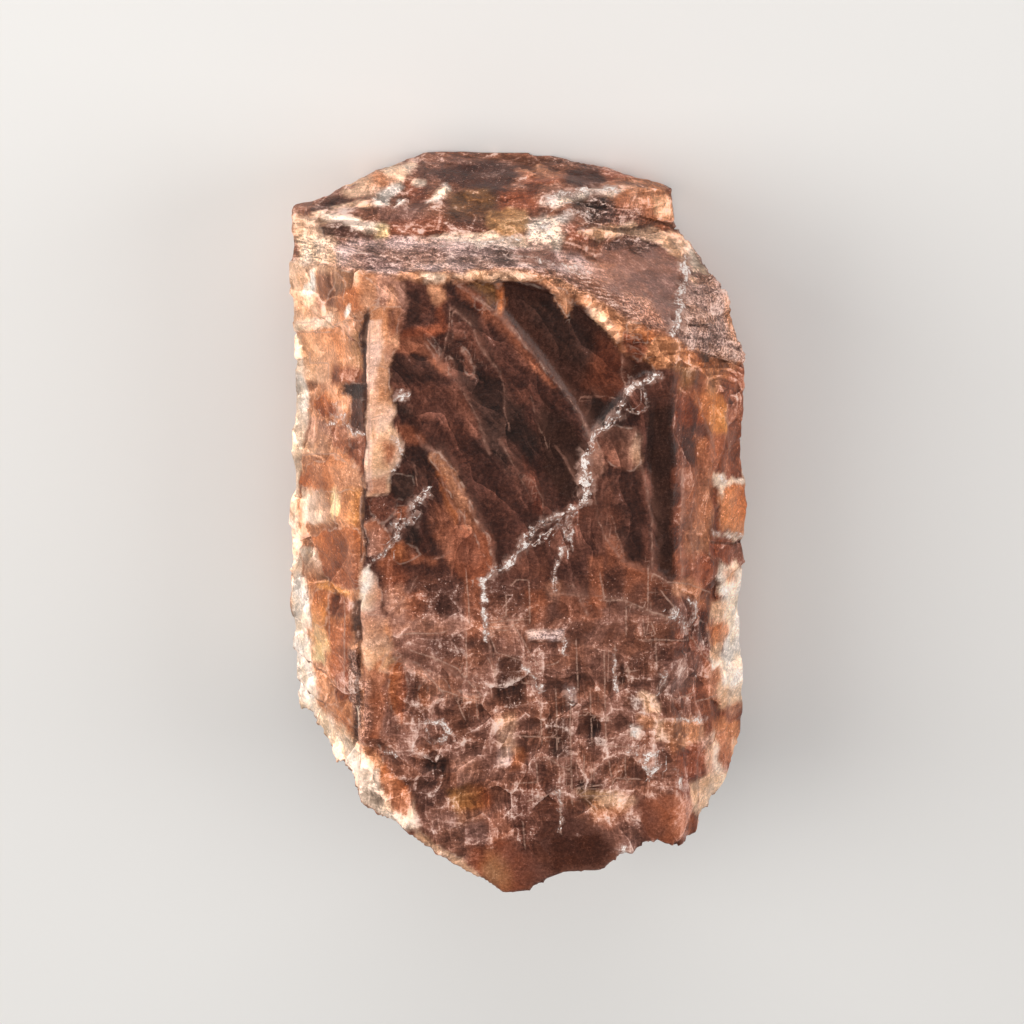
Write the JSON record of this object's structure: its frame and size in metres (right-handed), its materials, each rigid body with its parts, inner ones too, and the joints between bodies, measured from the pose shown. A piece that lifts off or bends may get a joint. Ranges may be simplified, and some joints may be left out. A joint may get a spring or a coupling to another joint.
{
  "type": "cordierite crystal",
  "caption": "Loose brown cordierite crystal: a flattened pseudo-hexagonal prism with a layered, terraced grown end and a broken foot, lying on its back prism face.",
  "frame": {"origin": "bottom centre of the bounding box, on the plane the crystal lies on", "axes": "+Y runs along the prism towards the grown end, +Z is out of the broad front prism face, away from the back face it lies on, and +X is to the right when the front face is looked at with the grown end up"},
  "size_m": [0.0398, 0.0618, 0.0212],
  "materials": {
    "brown_cordierite": "glossy on cleavages, dull on the breaks"
  },
  "bodies": {
    "root": {"cordierite_crystal": "brown_cordierite"}
  },
  "joints": []
}
